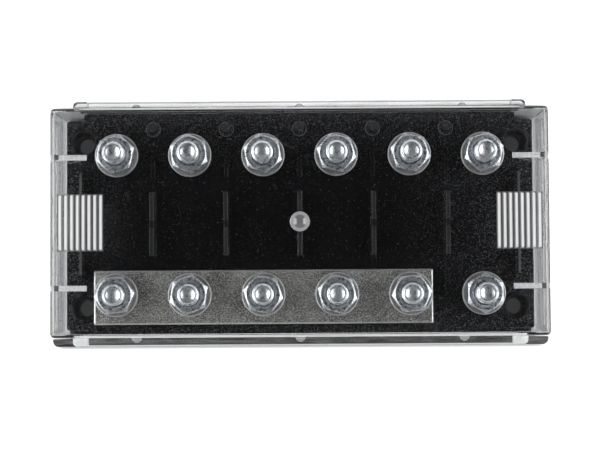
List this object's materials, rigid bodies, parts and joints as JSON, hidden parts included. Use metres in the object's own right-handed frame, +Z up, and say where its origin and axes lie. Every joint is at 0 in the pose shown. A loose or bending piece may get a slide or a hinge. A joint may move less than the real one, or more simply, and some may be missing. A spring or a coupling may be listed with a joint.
{
  "type": "mega fuse holder",
  "caption": "Stud fuse holder with a black moulded base, clear lift-off cover, plated busbar and rows of threaded terminal studs with washers and hex nuts.",
  "frame": {"origin": "middle of the underside, on the surface the holder stands on", "axes": "+X along the row of ways, +Y towards the line studs (the row without the busbar), +Z up through the cover"},
  "size_m": [0.1862, 0.09, 0.039],
  "materials": {
    "black_plastic": "fine moulded satin",
    "clear_plastic": "clear, lightly scuffed",
    "plated_busbar": "dull plated, rolled",
    "zinc_stud": "bright zinc, turned",
    "zinc_washer": "zinc, stamped",
    "zinc_nut": "bright zinc"
  },
  "bodies": {
    "holder": {"base_moulding": "black_plastic", "busbar": "plated_busbar", "line_stud_1": "zinc_stud", "line_stud_2": "zinc_stud", "line_stud_3": "zinc_stud", "line_stud_4": "zinc_stud", "line_stud_5": "zinc_stud", "line_stud_6": "zinc_stud", "feed_stud_1": "zinc_stud", "feed_stud_2": "zinc_stud", "feed_stud_3": "zinc_stud", "feed_stud_4": "zinc_stud", "feed_stud_5": "zinc_stud", "feed_stud_6": "zinc_stud", "line_washers": "zinc_washer", "feed_washers": "zinc_washer", "line_nuts": "zinc_nut", "feed_nuts": "zinc_nut"},
    "cover": {"clear_cover": "clear_plastic"}
  },
  "joints": [
    {"name": "cover_lift", "type": "slide", "parent": "holder", "child": "cover", "axis": [0, 0, 1], "range_m": [0, 0.06]}
  ]
}
